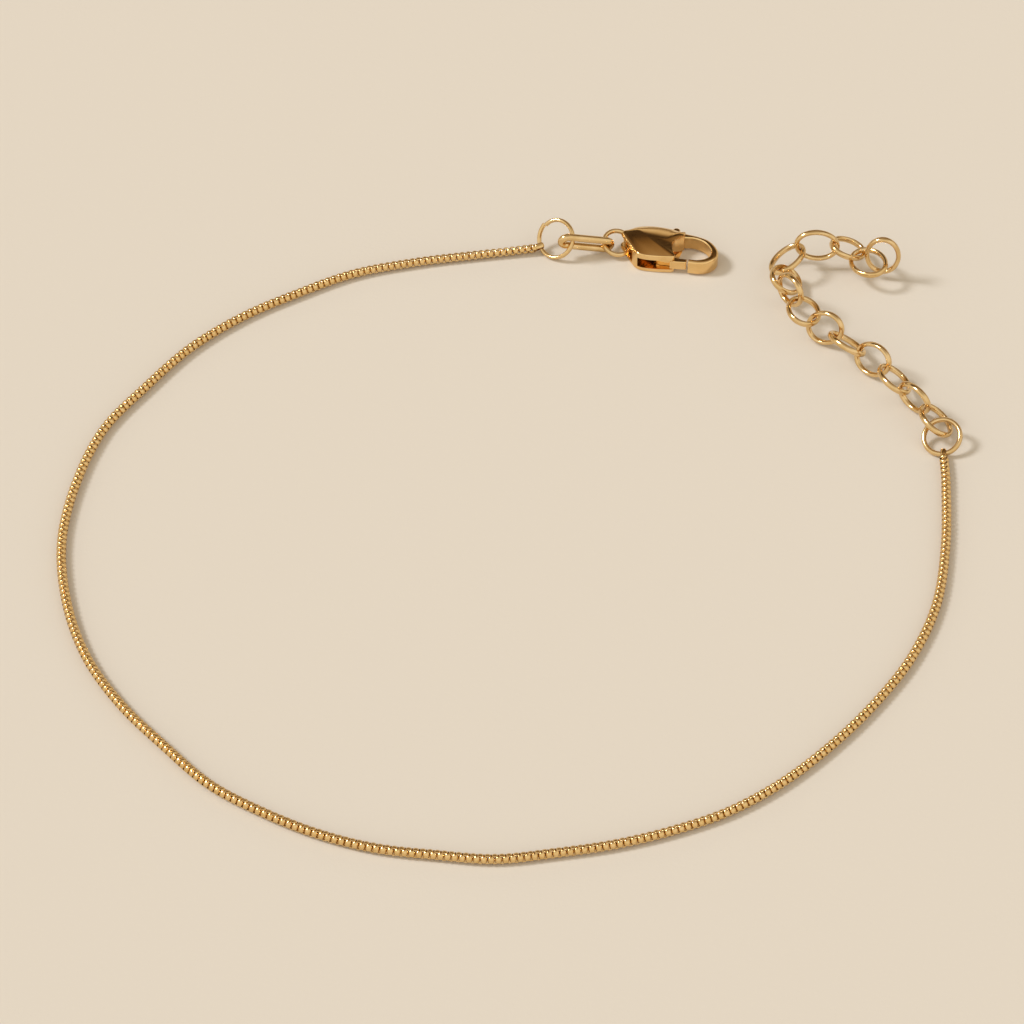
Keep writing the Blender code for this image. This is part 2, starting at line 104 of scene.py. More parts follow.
# Pieces of bent wire: x, y, z, heading, climb and roll in metres and degrees
END_RING_PLACE = (0.0041, 0.0401, 0.0018, 140, 5, -50)
CONNECTOR_PLACE = (0.0071, 0.0395, 0.00175, 190, 15, 78)
CLASP_RING_PLACE = (0.01025, 0.04025, 0.0011, 50, 10, 20)
EXTENDER_RING_PLACE = (0.0408, 0.0117, 0.0012, 205, -25, -15)

# Extender links from the ring out: x, y, z from the ring's middle as shares of a link's length,
# then heading, climb and roll in degrees
EXTENDER_LINK_PLACES = (
    (-0.10, 0.48, 0.02, -75, 0, -30),
    (-0.52, 1.00, 0.18, 125, -25, -100),
    (-0.90, 1.62, 0.14, 105, -5, 30),
    (-1.32, 2.20, 0.18, 140, -25, -75),
    (-1.84, 2.72, 0.16, 125, -5, 35),
    (-2.28, 3.18, 0.20, 150, -40, -80),
    (-2.72, 3.60, 0.30, 85, -5, 15),
    (-2.98, 4.24, 0.34, 120, -35, 90),
    (-3.04, 4.80, 0.14, 60, -20, 30),
    (-2.98, 5.46, 0.16, 55, 10, -25),
    (-2.34, 5.66, 0.38, 0, -10, -95),
    (-1.66, 5.72, 0.24, 45, -25, -170),
    (-1.24, 5.30, 0.20, -60, 5, 10),
    (-0.94, 5.30, 0.40, -35, 90, -65),
)

# The box chain's route on the surface, from the end ring round to the extender ring
CHAIN_BAR_RADIUS = 0.00044
CHAIN_ROUTE = (
    (-0.0043, 0.0390),
    (-0.0102, 0.0379),
    (-0.0161, 0.0362),
    (-0.0216, 0.0332),
    (-0.0269, 0.0297),
    (-0.0317, 0.0252),
    (-0.0358, 0.0195),
    (-0.0395, 0.0134),
    (-0.0416, 0.0060),
    (-0.0424, -0.0019),
    (-0.0414, -0.0098),
    (-0.0391, -0.0169),
    (-0.0356, -0.0229),
    (-0.0315, -0.0279),
    (-0.0272, -0.0326),
    (-0.0224, -0.0359),
    (-0.0174, -0.0385),
    (-0.0123, -0.0402),
    (-0.0070, -0.0410),
    (-0.0018, -0.0415),
    (0.0034, -0.0408),
    (0.0086, -0.0398),
    (0.0137, -0.0382),
    (0.0188, -0.0359),
    (0.0236, -0.0325),
    (0.0281, -0.0281),
    (0.0322, -0.0231),
    (0.0360, -0.0172),
    (0.0388, -0.0103),
    (0.0402, -0.0025),
    (0.0408, 0.0055),
)

# How the chain lies turned about its own line: share of its length, degrees
CHAIN_TURN = (
    (0.0, 28),
    (0.16, 28),
    (0.28, 45),
    (0.38, 45),
    (0.47, 62),
    (0.64, 62),
    (0.78, 45),
    (1.0, 45),
)

# The stretch at each end where the chain's turn comes to match the end link's, and the route's steps
TURN_BLEND = 0.008
SPLINE_STEPS = 24

# Lobster clasp, in its own frame: x towards the hook, y towards the back, z up. It hangs on its
# ring by the tail post, whose place in the ring is given as shares of the ring's size
POST_IN_RING = (0.26, 0.10)
CLASP_HEADING = math.radians(-14)
CLASP_LENGTH = 0.0101
CLASP_WIDTH = 0.0050
CLASP_THICKNESS = 0.00206
TOP_PLATE = 0.00050
BOTTOM_PLATE = 0.00046
BACK_PLATE = 0.00070
TAIL_PLATE = 0.00035
BEVEL_DEPTH = 0.00045
BEVEL_INSET = 0.00018
DOME_DEPTH = 0.00041
DOME_INSET = 0.0020
UNDERSIDE_ROUNDING = 0.00010
HOOK_BOTTOM = 0.00020
HOOK_TOP = 0.00172
HOOK_BEVEL = 0.00010
HOOK_ROUNDING = 0.00028
PIVOT_RADIUS = 0.00027
PIVOT_CLEARANCE = 0.00005
TAIL_POST_RADIUS = 0.00020
LEVER_PLAY = 0.00005
LEVER_BEVEL = 0.00006
ARM_INSET = 0.00003
KNOB_RADIUS = 0.00040
KNOB_DOME = 0.00016
EDGE_BREAK = 0.00004
EDGE_BREAK_STEPS = 2
EDGE_BREAK_ANGLE = math.radians(50)
THROAT_RIM = 0.15

# The slope that takes the body's top down to the hook: where it starts, as shares of the clasp's
# length and width, then its heading, curve and size
SLOPE_START = (0.030, 0.26)
SLOPE_HEADING = math.radians(52)
SLOPE_RADIUS = 0.0036
SLOPE_REACH = 0.0014
SLOPE_WIDTH = 0.0040
SLOPE_STEPS = 12
SLOPE_LIFT = 0.00002

# How finely the clasp's circles, outlines and rounded edges are drawn
ROUND_STEPS = 40
OUTLINE_STEPS = 7
ROUNDING_STEPS = 6

# Below, the clasp's x is a share of its length and its y a share of its width
PIVOT = (-0.059, -0.26)
TAIL_POST = (-0.457, 0.05)
KNOB = (0.003, 0.57)

# Body outline from the front right corner round by the tail to the hook's root: x, y and how far
# the rim there takes the domed back's form instead of the front's bevel
BODY_EDGE = (
    (0.062, -0.440, 0.0),
    (-0.050, -0.484, 0.0),
    (-0.149, -0.512, 0.0),
    (-0.228, -0.516, 0.0),
    (-0.287, -0.484, 0.04),
    (-0.332, -0.400, 0.08),
    (-0.431, -0.150, 0.08),
    (-0.499, 0.040, 0.08),
    (-0.509, 0.120, 0.08),
    (-0.492, 0.190, 0.12),
    (-0.454, 0.256, 0.25),
    (-0.386, 0.390, 0.55),
    (-0.303, 0.460, 0.85),
    (-0.189, 0.500, 1.0),
    (-0.052, 0.496, 1.0),
    (0.020, 0.476, 0.7),
    (0.060, 0.458, 0.4),
    (0.114, 0.440, 0.08),
)
BODY_THROAT = (
    (0.114, 0.290, 0.0),
    (0.084, 0.230, 0.0),
    (0.054, 0.150, 0.0),
    (0.033, 0.080, 0.0),
    (0.022, -0.026, 0.0),
    (0.048, -0.212, 0.0),
    (0.079, -0.330, 0.0),
    (0.084, -0.392, 0.0),
)

# The rim's form, as shares of its depth and inset: bevel depth and inset, dome depth and inset
RIM_FORM = (
    (1.0, 0.0, 1.0, 0.0),
    (0.70, 0.20, 0.82, 0.095),
    (0.42, 0.42, 0.63, 0.20),
    (0.26, 0.54, 0.46, 0.32),
    (0.15, 0.65, 0.32, 0.43),
    (0.08, 0.74, 0.19, 0.56),
    (0.04, 0.82, 0.10, 0.68),
    (0.01, 0.92, 0.03, 0.83),
    (0.0, 1.0, 0.0, 1.0),
)

# Hook outlines from the root to the nose, as matching outer and inner points
HOOK_OUTER = (
    (0.020, 0.460),
    (0.109, 0.440),
    (0.198, 0.426),
    (0.277, 0.400),
    (0.356, 0.344),
    (0.426, 0.230),
    (0.477, 0.080),
    (0.488, -0.080),
    (0.465, -0.230),
    (0.411, -0.340),
    (0.327, -0.404),
    (0.225, -0.420),
)
HOOK_INNER = (
    (0.020, 0.340),
    (0.109, 0.300),
    (0.183, 0.322),
    (0.248, 0.314),
    (0.317, 0.260),
    (0.376, 0.150),
    (0.416, 0.014),
    (0.414, -0.124),
    (0.376, -0.230),
    (0.332, -0.284),
    (0.287, -0.310),
    (0.225, -0.318),
)

# Cuts through the middle of the clasp's thickness: at the front, at the back and at the tail
FRONT_CUT = (
    (-0.277, -0.64),
    (0.094, -0.64),
    (0.094, -0.12),
    (0.002, -0.05),
    (0.006, 0.08),
    (-0.24, 0.08),
    (-0.277, 0.02),
)
BACK_CUT = ((-0.183, 0.04), (0.006, 0.04), (0.026, 0.20), (0.034, 0.60), (-0.183, 0.60))
TAIL_CUT = (
    (-0.594, -0.60),
    (-0.342, -0.60),
    (-0.342, 0.20),
    (-0.376, 0.28),
    (-0.376, 0.60),
    (-0.594, 0.60),
)

# The lever's gate with its boss, and its arm up to the thumb knob
GATE_OUTLINE = (
    (-0.109, -0.290),
    (-0.099, -0.350),
    (-0.059, -0.376),
    (0.010, -0.360),
    (0.038, -0.364),
    (0.045, -0.444),
    (0.119, -0.424),
    (0.193, -0.400),
    (0.203, -0.380),
    (0.203, -0.304),
    (0.193, -0.288),
    (0.119, -0.304),
    (0.050, -0.290),
    (0.000, -0.200),
    (-0.030, -0.166),
    (-0.079, -0.166),
    (-0.107, -0.220),
)
ARM_OUTLINE = (
    (-0.092, -0.230),
    (-0.030, -0.230),
    (-0.003, 0.080),
    (0.022, 0.380),
    (0.027, 0.540),
    (-0.021, 0.540),
    (-0.026, 0.380),
    (-0.060, 0.080),
)

# Patterns in the gold: how detailed the ripple and the scratches are, how the scratches are drawn out
# and turned, where each pattern changes the tone and the sheen, and the roughness's least and most share
RIPPLE_DETAIL = 2.0
SCRATCH_DETAIL = 3.0
SCRATCH_DRAW = (0.08, 1.0, 0.6)
SCRATCH_TURN = (0.3, 0.2, 0.7)
TONE_CHANGE = (0.35, 0.65)
SHEEN_CHANGE = (0.3, 0.7)
SHEEN_SHARES = (0.8, 1.25)

# The card under the anklet
CARD_COLOUR = "E2DACA"
CARD_ROUGHNESS = 0.95
CARD_SPECULAR = 0.2
CARD_GRAIN_MM = 0.4
CARD_GRAIN_DETAIL = 4.0
CARD_GRAIN_HEIGHT_MM = 0.012

# The sRGB curve from a stored byte to a linear value
SRGB_MOST = 255
SRGB_FOOT = 0.04045
SRGB_FOOT_SLOPE = 12.92
SRGB_OFFSET = 0.055
SRGB_POWER = 2.4

# Camera
CAMERA_ELEVATION = math.radians(44)
CAMERA_DISTANCE = 0.42435
CAMERA_AIM = (-0.0003, 0.0026, 0.0)
CAMERA_LENS = 158.2
CAMERA_SENSOR = 36.0
CAMERA_NEAR = 0.01
CAMERA_FAR = 20.0

# Studio: the key light's direction and softness, and the floor's half width
KEY_DIRECTION = (-0.60, 0.05, 0.62)
KEY_STRENGTH = 1.75
KEY_ANGLE = math.radians(15)
KEY_COLOUR = "F4F6FF"
FLOOR_HALF = 5.0

# The room's light, and the depth over which its near side gives way to its far side
ROOM_STRENGTH = 0.95
ROOM_BLEND = 0.5

# The room's brightness by height, from the horizon (0) to overhead (1), as height and hex colour
FAR_SIDE = (
    (0.0, "6E5A45"),
    (0.13, "A08A6C"),
    (0.26, "E6D6BE"),
    (0.40, "DACAB2"),
    (0.49, "AC9678"),
    (0.57, "3C2C1C"),
    (0.64, "382A1C"),
    (0.70, "7C6040"),
    (0.80, "A08460"),
    (1.0, "BEB0A0"),
)
NEAR_SIDE = ((0.0, "F4E8D8"), (0.35, "FFF6EA"), (0.75, "FFFAF2"), (1.0, "BEB0A0"))


# Curves


def smooth_curve(points, steps):
    """A Catmull-Rom curve through the points, with the given steps in each span."""
    points = [Vector(point) for point in points]
    ends = [points[0] * 2 - points[1]] + points + [points[-1] * 2 - points[-2]]
    curve = []
    for i in range(1, len(ends) - 2):
        before, start, end, after = ends[i - 1 : i + 3]
        for step in range(steps):
            t = step / steps
            bend = (start - end) * 3 + after - before
            lean = before * 2 - start * 5 + end * 4 - after
            curve.append((start * 2 + (end - before) * t + lean * t**2 + bend * t**3) / 2)
    return curve + [points[-1]]


class Track:
    """A fine polyline that gives the place and direction at a length along it."""

    def __init__(self, points):
        self.points = points
        self.lengths = [0.0]
        for start, end in zip(points, points[1:]):
            self.lengths.append(self.lengths[-1] + (end - start).length)
        self.span = 0

    def at(self, length):
        """The place and the direction at a length from the start."""
        last = len(self.points) - 2
        while self.span < last and self.lengths[self.span + 1] < length:
            self.span += 1
        while self.span > 0 and self.lengths[self.span] > length:
            self.span -= 1
        start = self.points[self.span]
        end = self.points[self.span + 1]
        low, high = self.lengths[self.span : self.span + 2]
        share = (length - low) / (high - low)
        return start.lerp(end, share), (end - start).normalized()


def placement(place):
    """Matrix of a piece whose long axis has a heading and a climb, and which is rolled about that axis."""
    x, y, z, heading, climb, roll = place
    turn = Euler((math.radians(roll), math.radians(-climb), math.radians(heading)), "XYZ")
    return Matrix.Translation((x, y, z)) @ turn.to_matrix().to_4x4()


def from_extender_ring(place):
    """An extender link's place in metres."""
    middle = Vector(EXTENDER_RING_PLACE[:3]) + Vector(place[:3]) * LINK_LENGTH
    return (*middle, *place[3:])


# Meshes


def swept_mesh(sections, closed):
    """Corners and faces of a skin over equal rings of corners.

    It is capped at both ends unless it closes on itself.
    """
    size = len(sections[0])
    corners = [corner for section in sections for corner in section]
    faces = []
    spans = len(sections) if closed else len(sections) - 1
    for i in range(spans):
        here = i * size
        there = (i + 1) % len(sections) * size
        for j in range(size):
            k = (j + 1) % size
            faces.append((here + j, here + k, there + k, there + j))
    if not closed:
        faces.append(tuple(range(size))[::-1])
        faces.append(tuple(len(corners) - size + j for j in range(size)))
    return corners, faces


def put(shape, matrix):
    """The shape, moved and turned by the matrix."""
    corners, faces = shape
    return [matrix @ Vector(corner) for corner in corners], faces


def make_mesh(name, shape, material=None, sharp=WIRE_SHARP):
    """A smooth mesh whose edges stay sharp where they bend more than the given angle."""
    mesh = bpy.data.meshes.new(name)
    mesh.from_pydata([tuple(corner) for corner in shape[0]], [], shape[1])
    mesh.validate()
    mesh.shade_smooth()
    mesh.set_sharp_from_angle(angle=sharp)
    if material is not None:
        mesh.materials.append(material)
    return mesh


def link_object(name, data):
    """An object in the scene that holds the given mesh, light or camera."""
    obj = bpy.data.objects.new(name, data)
    bpy.context.scene.collection.objects.link(obj)
    return obj


def declare(piece, nodes, body):
    """The piece moves with a body and stands for the named solids, which are hidden."""
    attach(piece, body)
    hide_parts(*nodes)
    return piece


def add_piece(name, shape, material, nodes, sharp=WIRE_SHARP):
    """A piece of the anklet's fixed body."""
    piece = link_object(name, make_mesh(name, shape, material, sharp))
    return declare(piece, nodes, "anklet")


# Bent wire


def wire_section(centre, across, wire, depth=1.0):
    """A wire's section: as wide as the wire, and its depth as a share of that."""
    section = []
    for j in range(WIRE_SIDES):
        angle = math.tau * j / WIRE_SIDES
        out = across * math.cos(angle) - Vector((0, 0, depth)) * math.sin(angle)
        section.append(centre + out * wire / 2)
    return section


def oval_link(length, width, wire):
    """A link of round wire with two straight sides and two round ends, long in x."""
    bend = (width - wire) / 2
    straight = (length - width) / 2
    half = RING_STEPS // 2
    sections = []
    for side, start in ((1, -math.pi / 2), (-1, math.pi / 2)):
        for i in range(half):
            angle = start + math.pi * i / (half - 1)
            across = Vector((math.cos(angle), math.sin(angle), 0))
            centre = Vector((side * straight, 0, 0)) + across * bend
            sections.append(wire_section(centre, across, wire))
    return swept_mesh(sections, True)


def bent_ring(length, width, wire):
    """A ring of round wire, soldered shut: round, or oval and long in x."""
    long_bend = (length - wire) / 2
    wide_bend = (width - wire) / 2
    sections = []
    for i in range(RING_STEPS):
        angle = math.tau * i / RING_STEPS
        centre = Vector((long_bend * math.cos(angle), wide_bend * math.sin(angle), 0))
        across = Vector((wide_bend * math.cos(angle), long_bend * math.sin(angle), 0)).normalized()
        sections.append(wire_section(centre, across, wire, WIRE_DEPTH))
    return swept_mesh(sections, True)


def split_ring(size, wire, joint):
    """A jump ring cut once, with its two ends a little apart, sprung open and stepped sideways."""
    bend = (size - wire) / 2
    gap = JOINT_GAP / bend
    sections = []
    for i in range(RING_STEPS + 1):
        share = i / RING_STEPS
        angle = joint + gap / 2 + (math.tau - gap) * share
        across = Vector((math.cos(angle), math.sin(angle), 0))
        shift = Vector((0, 0, JOINT_STEP * (share - 0.5)))
        spring = JOINT_SPRING * abs(share * 2 - 1) ** JOINT_SPRING_POWER
        centre = across * (bend + (spring if share < 0.5 else -spring)) + shift
        sections.append(wire_section(centre, across, wire, WIRE_DEPTH))
    return swept_mesh(sections, False)


# Folded strip


def rounded_box_loop(length, width, corner, steps):
    """Points round a rectangle with rounded corners."""
    loop = []
    for quarter, (side_x, side_y) in enumerate(((1, 1), (-1, 1), (-1, -1), (1, -1))):
        centre = Vector((side_x * (length / 2 - corner), side_y * (width / 2 - corner)))
        for i in range(steps + 1):
            angle = math.pi / 2 * (quarter + i / steps)
            loop.append(centre + Vector((math.cos(angle), math.sin(angle))) * corner)
    return loop


def folded_link(length, width, strip_width, thickness, corner, steps):
    """A strip with a domed outside, folded into a rounded box, long in x and open in z."""
    outer = rounded_box_loop(length, width, corner, steps)
    inner = rounded_box_loop(length - 2 * thickness, width - 2 * thickness, corner - thickness, steps)
    sections = []
    for near, far in zip(inner, outer):
        section = []
        for across, out in STRIP_SECTION:
            section.append(Vector((*near.lerp(far, out), across * strip_width)))
        sections.append(section)
    return swept_mesh(sections, True)


def ring_point(place, size, wire, angle):
    """The middle of a placed ring's wire at an angle round it, and the wire's direction there."""
    matrix = placement(place)
    bend = (size - wire) / 2
    point = matrix @ Vector((bend * math.cos(angle), bend * math.sin(angle), 0))
    along = matrix.to_3x3() @ Vector((-math.sin(angle), math.cos(angle), 0))
    return point, along


def end_link_matrix(wire_point, wire_along, wire, towards):
    """The last link hangs on the ring's wire by its far end and points to the chain."""
    reach = towards - wire_point
    reach = (reach - wire_along * reach.dot(wire_along)).normalized()
    third = wire_along.cross(reach)
    turn = Matrix((reach, third, wire_along)).transposed()
    pull = END_LINK_LENGTH / 2 - END_LINK_STRIP_THICKNESS - wire / 2 - RING_PLAY
    return Matrix.Translation(wire_point + reach * pull) @ turn.to_4x4()


def chain_turn(share):
    """The chain's turn about its own line, eased between the chosen places."""
    for (low, start), (high, end) in zip(CHAIN_TURN, CHAIN_TURN[1:]):
        if share <= high:
            ease = (share - low) / (high - low)
            ease = ease * ease * (3 - 2 * ease)
            return math.radians(start + (end - start) * ease)
    return math.radians(CHAIN_TURN[-1][1])


def turn_of(direction, axis):
    """Angle of an axis about the chain's direction, from the level side of the chain."""
    side = Vector((0, 0, 1)).cross(direction).normalized()
    up = direction.cross(side)
    return math.atan2(axis.dot(up), axis.dot(side))


def nearest_quarter(angle, goal):
    """The angle moved by whole quarter turns to come nearest the goal."""
    quarter = math.pi / 2
    return angle + quarter * round((goal - angle) / quarter)


def chain_track(left, right):
    """The line through the whole chain, from the middle of one end link to that of the other."""
    hook = Vector((END_LINK_LENGTH / 2 + CHAIN_PLAY, 0, 0))
    lying = [Vector((x, y, CHAIN_BAR_RADIUS)) for x, y in CHAIN_ROUTE]
    inner = smooth_curve([left @ hook, *lying, right @ hook], SPLINE_STEPS)
    for place in inner:
        place.z = max(place.z, CHAIN_BAR_RADIUS)
    return Track([left.translation, *inner, right.translation])


def add_box_chain(left, right, material):
    """Hundreds of small folded links, each hooked through the last and turned a quarter from it."""
    track = chain_track(left, right)
    end_reach = END_LINK_LENGTH / 2 - END_LINK_STRIP_THICKNESS
    first = end_reach - LINK_SLACK + BOX_LENGTH / 2 - BOX_STRIP_THICKNESS
    last = track.lengths[-1] - first
    spans = round((last - first) / (BOX_LENGTH - 2 * BOX_STRIP_THICKNESS - LINK_SLACK))
    pitch = (last - first) / spans
    link = folded_link(
        BOX_LENGTH,
        BOX_WIDTH,
        BOX_STRIP_WIDTH,
        BOX_STRIP_THICKNESS,
        BOX_CORNER,
        BOX_CORNER_STEPS,
    )
    start_turn = turn_of(track.at(first)[1], left.to_3x3() @ Vector((0, 0, 1)))
    end_turn = turn_of(track.at(last)[1], right.to_3x3() @ Vector((0, 0, 1)))
    corners = []
    faces = []
    for i in range(spans + 1):
        length = first + pitch * i
        place, along = track.at(length)
        turn = chain_turn(i / spans)
        near_start = max(0.0, 1.0 - (length - first) / TURN_BLEND) ** 2
        near_end = max(0.0, 1.0 - (last - length) / TURN_BLEND) ** 2
        turn += (nearest_quarter(start_turn, turn) - turn) * near_start
        turn += (nearest_quarter(end_turn, turn) - turn) * near_end
        spin = turn + math.pi / 2 * (i % 2)
        steep = abs(math.sin(turn))
        level = abs(math.cos(turn))
        height = BOX_WIDTH / 2 * steep + BOX_STRIP_WIDTH / 2 * level
        height_of_next = BOX_WIDTH / 2 * level + BOX_STRIP_WIDTH / 2 * steep
        centre = Vector((place.x, place.y, max(place.z, height, height_of_next)))
        side = Vector((0, 0, 1)).cross(along).normalized()
        up = along.cross(side)
        across = side * math.cos(spin) + up * math.sin(spin)
        turned = Matrix((along, across, along.cross(across))).transposed().to_4x4()
        matrix = Matrix.Translation(centre) @ turned
        base = len(corners)
        corners.extend(matrix @ corner for corner in link[0])
        faces.extend(tuple(base + index for index in face) for face in link[1])
    shape = (corners, faces)
    add_piece("box_chain_links", shape, material, ["box_chain"], BOX_SHARP)


# Lobster clasp


def clasp_points(table):
    """Points in metres from a table of shares of the clasp's length and width."""
    return [(x * CLASP_LENGTH, y * CLASP_WIDTH, *rest) for x, y, *rest in table]


def mix(start, end, share):
    """The value a share of the way from the start to the end."""
    return start + (end - start) * share


def counter_clockwise(outline):
    """The outline, reversed if it runs clockwise."""
    area = sum(a[0] * b[1] - b[0] * a[1] for a, b in zip(outline, outline[1:] + outline[:1]))
    return outline if area > 0 else outline[::-1]


def circle(centre, radius):
    """Outline of a circle."""
    points = []
    for i in range(ROUND_STEPS):
        angle = math.tau * i / ROUND_STEPS
        points.append((centre[0] + radius * math.cos(angle), centre[1] + radius * math.sin(angle)))
    return points


def inward(outline, i):
    """Direction from a counter-clockwise outline's point to its inside."""
    before = Vector(outline[i - 1][:2])
    after = Vector(outline[(i + 1) % len(outline)][:2])
    run = (after - before).normalized()
    return Vector((-run.y, run.x))


def flat_point(outline, i, inset):
    """An outline's point, moved in from the edge."""
    return Vector(outline[i][:2]) + inward(outline, i) * inset


def prism(outline, levels):
    """Walls over an outline through levels of height and inset."""
    outline = counter_clockwise(outline)
    sections = []
    for height, inset in levels:
        section = []
        for i in range(len(outline)):
            section.append(Vector((*flat_point(outline, i, inset), height)))
        sections.append(section)
    return swept_mesh(sections, False)


def plain_prism(outline, low, high):
    """Upright walls over an outline."""
    return prism(outline, ((low, 0.0), (high, 0.0)))


def clasp_body_blank():
    """The clasp's body: bevelled along the front and the tail, and domed down towards the back."""
    edge = smooth_curve(clasp_points(BODY_EDGE), OUTLINE_STEPS)
    throat = smooth_curve(clasp_points(BODY_THROAT), OUTLINE_STEPS)
    outline = [(*point, 1.0) for point in edge] + [(*point, THROAT_RIM) for point in throat]
    outline = counter_clockwise(outline)
    sections = []
    for height, inset in ((0.0, UNDERSIDE_ROUNDING), (UNDERSIDE_ROUNDING, 0.0)):
        section = []
        for i in range(len(outline)):
            section.append(Vector((*flat_point(outline, i, inset), height)))
        sections.append(section)
    for bevel_depth, bevel_inset, dome_depth, dome_inset in RIM_FORM:
        section = []
        for i, (_, _, dome, rim) in enumerate(outline):
            inset = mix(bevel_inset * BEVEL_INSET * rim, dome_inset * DOME_INSET, dome)
            drop = mix(bevel_depth * BEVEL_DEPTH * rim, dome_depth * DOME_DEPTH, dome)
            section.append(Vector((*flat_point(outline, i, inset), CLASP_THICKNESS - drop)))
        sections.append(section)
    return swept_mesh(sections, False)


def hook_slope():
    """A block with a curved underside, that shaves the body's top down towards the hook's root."""
    start = Vector((*clasp_points([SLOPE_START])[0], CLASP_THICKNESS + SLOPE_LIFT))
    down = Vector((math.cos(SLOPE_HEADING), math.sin(SLOPE_HEADING), 0))
    across = Vector((-down.y, down.x, 0)) * SLOPE_WIDTH / 2
    profile = []
    for i in range(SLOPE_STEPS + 1):
        reach = SLOPE_REACH * i / SLOPE_STEPS
        profile.append(start + down * reach - Vector((0, 0, reach**2 / (2 * SLOPE_RADIUS))))
    above = Vector((0, 0, CLASP_THICKNESS))
    profile += [profile[-1] + above, start + above]
    sections = [[point + side for point in profile] for side in (across, -across)]
    return swept_mesh(sections, False)


def clasp_hook_blank():
    """The hook as a bar swept from the body's back round to the nose, with a well rounded outer rim."""
    outer = smooth_curve([(x, y, 0.0) for x, y in clasp_points(HOOK_OUTER)], OUTLINE_STEPS)
    inner = smooth_curve([(x, y, 0.0) for x, y in clasp_points(HOOK_INNER)], OUTLINE_STEPS)
    rounding = []
    for i in range(1, ROUNDING_STEPS):
        angle = math.pi / 2 * i / ROUNDING_STEPS
        reach = HOOK_ROUNDING * (1 - math.sin(angle))
        drop = HOOK_ROUNDING * (1 - math.cos(angle))
        rounding.append((reach, HOOK_TOP - drop))
    sections = []
    for far, near in zip(outer, inner):
        width = (near - far).length
        across = (near - far).normalized()
        profile = (
            (0.0, HOOK_BOTTOM + HOOK_BEVEL),
            (HOOK_BEVEL, HOOK_BOTTOM),
            (width - HOOK_BEVEL, HOOK_BOTTOM),
            (width, HOOK_BOTTOM + HOOK_BEVEL),
            (width, HOOK_TOP - HOOK_BEVEL),
            (width - HOOK_BEVEL, HOOK_TOP),
            (HOOK_ROUNDING, HOOK_TOP),
            *rounding,
            (0.0, HOOK_TOP - HOOK_ROUNDING),
        )
        section = []
        for reach, height in profile:
            section.append(far + across * reach + Vector((0, 0, height)))
        sections.append(section)
    return swept_mesh(sections[::-1], False)


def carve(name, blank, tools, matrix, material):
    """A mesh joined with and cut by other shapes, its sharp edges broken, set in the anklet's frame."""
    work = link_object(name + "_blank", make_mesh(name, blank, material))
    helpers = [work]
    for number, (operation, shape) in enumerate(tools):
        helper = link_object(f"{name}_tool_{number}", make_mesh(name, shape))
        helpers.append(helper)
        modifier = work.modifiers.new(helper.name, "BOOLEAN")
        modifier.operation = operation
        modifier.solver = "MANIFOLD"
        modifier.object = helper
    edge = work.modifiers.new("broken_edges", "BEVEL")
    edge.width = EDGE_BREAK
    edge.segments = EDGE_BREAK_STEPS
    edge.limit_method = "ANGLE"
    edge.angle_limit = EDGE_BREAK_ANGLE
    edge.loop_slide = False
    bpy.context.view_layer.update()
    evaluated = work.evaluated_get(bpy.context.evaluated_depsgraph_get())
    mesh = bpy.data.meshes.new_from_object(evaluated)
    mesh.name = name
    mesh.transform(matrix)
    mesh.shade_smooth()
    mesh.set_sharp_from_angle(angle=WIRE_SHARP)
    for helper in helpers:
        bpy.data.objects.remove(helper, do_unlink=True)
    return link_object(name, mesh)


def clasp_matrix():
    """The clasp stands where its tail post hangs in the clasp ring."""
    post = Vector(CLASP_RING_PLACE[:2]) + Vector(POST_IN_RING) * CLASP_RING_SIZE
    turn = Matrix.Rotation(CLASP_HEADING, 2)
    place = post - turn @ Vector(clasp_points([TAIL_POST])[0])
    return Matrix.Translation((*place, 0.0)) @ Matrix.Rotation(CLASP_HEADING, 4, "Z")


def add_clasp_body(material):
    """The clasp's casting: body and hook in one, hollow between its plates, with a tail post and a pin."""
    front_top = CLASP_THICKNESS - TOP_PLATE
    back_top = CLASP_THICKNESS - BACK_PLATE
    tail_top = CLASP_THICKNESS - TAIL_PLATE
    post = circle(clasp_points([TAIL_POST])[0], TAIL_POST_RADIUS)
    pin = circle(clasp_points([PIVOT])[0], PIVOT_RADIUS)
    tools = (
        ("DIFFERENCE", hook_slope()),
        ("UNION", clasp_hook_blank()),
        ("DIFFERENCE", plain_prism(clasp_points(FRONT_CUT), BOTTOM_PLATE, front_top)),
        ("DIFFERENCE", plain_prism(clasp_points(BACK_CUT), BOTTOM_PLATE, back_top)),
        ("DIFFERENCE", plain_prism(clasp_points(TAIL_CUT), TAIL_PLATE, tail_top)),
        ("UNION", plain_prism(post, TAIL_PLATE / 2, CLASP_THICKNESS - TAIL_PLATE / 2)),
        ("UNION", plain_prism(pin, BOTTOM_PLATE / 2, CLASP_THICKNESS - TOP_PLATE / 2)),
    )
    body = carve("clasp_casting", clasp_body_blank(), tools, clasp_matrix(), material)
    declare(body, ["clasp_body"], "anklet")


